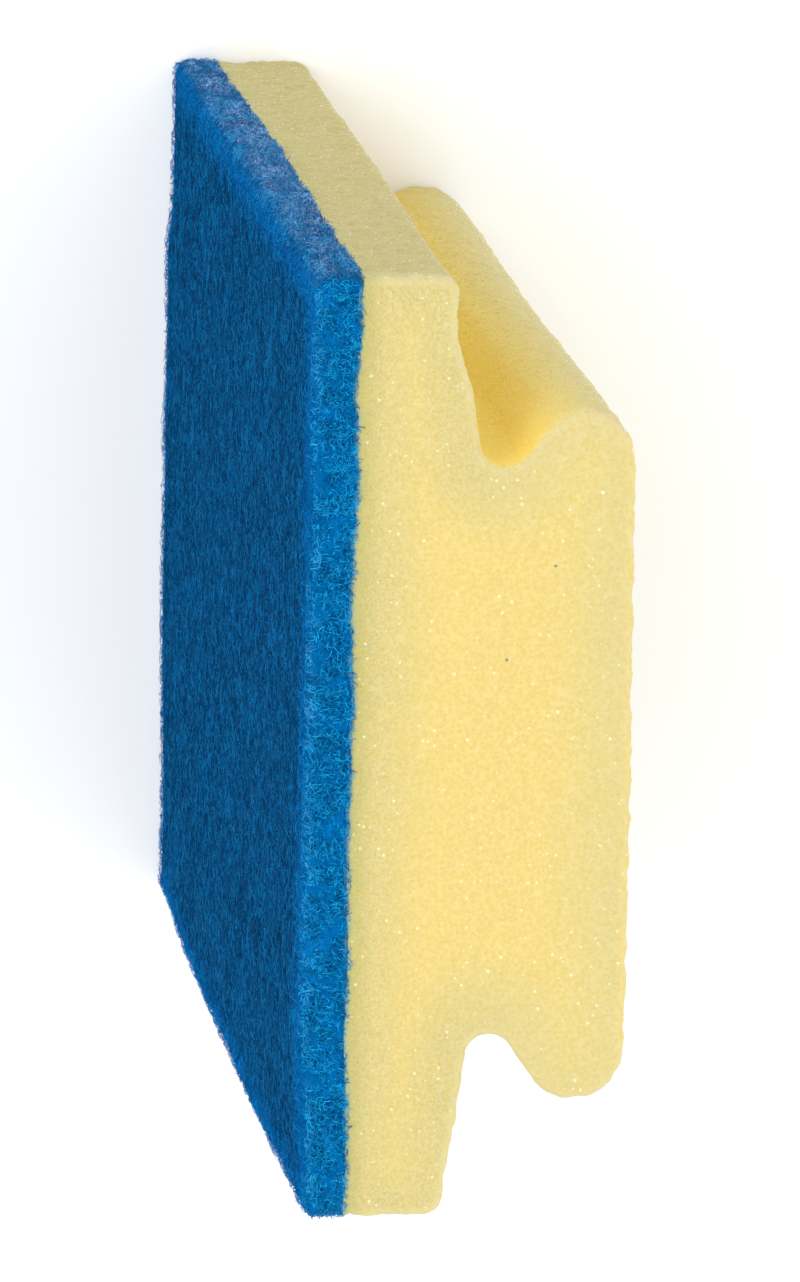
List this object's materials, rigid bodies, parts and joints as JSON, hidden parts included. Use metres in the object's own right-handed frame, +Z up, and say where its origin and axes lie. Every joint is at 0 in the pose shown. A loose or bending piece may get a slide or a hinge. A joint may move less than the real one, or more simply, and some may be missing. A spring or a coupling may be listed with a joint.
{
  "type": "scouring sponge",
  "caption": "Flat kitchen scouring sponge: a profiled soft foam body with a finger-grip groove along each long side, bonded to a blue abrasive fibre pad.",
  "frame": {"origin": "middle of the end face that the sponge stands on", "axes": "+Z up along the length, +Y through the thickness from the scouring pad's face to the soft head's face, X across the width"},
  "size_m": [0.09, 0.031, 0.13],
  "materials": {
    "foam": "matte",
    "glue": "matte",
    "web": "matte",
    "coat": "matte"
  },
  "bodies": {
    "root": {"foam_body": "foam", "adhesive_film": "glue", "fibre_web": "web", "abrasive_coat": "coat"}
  },
  "joints": []
}
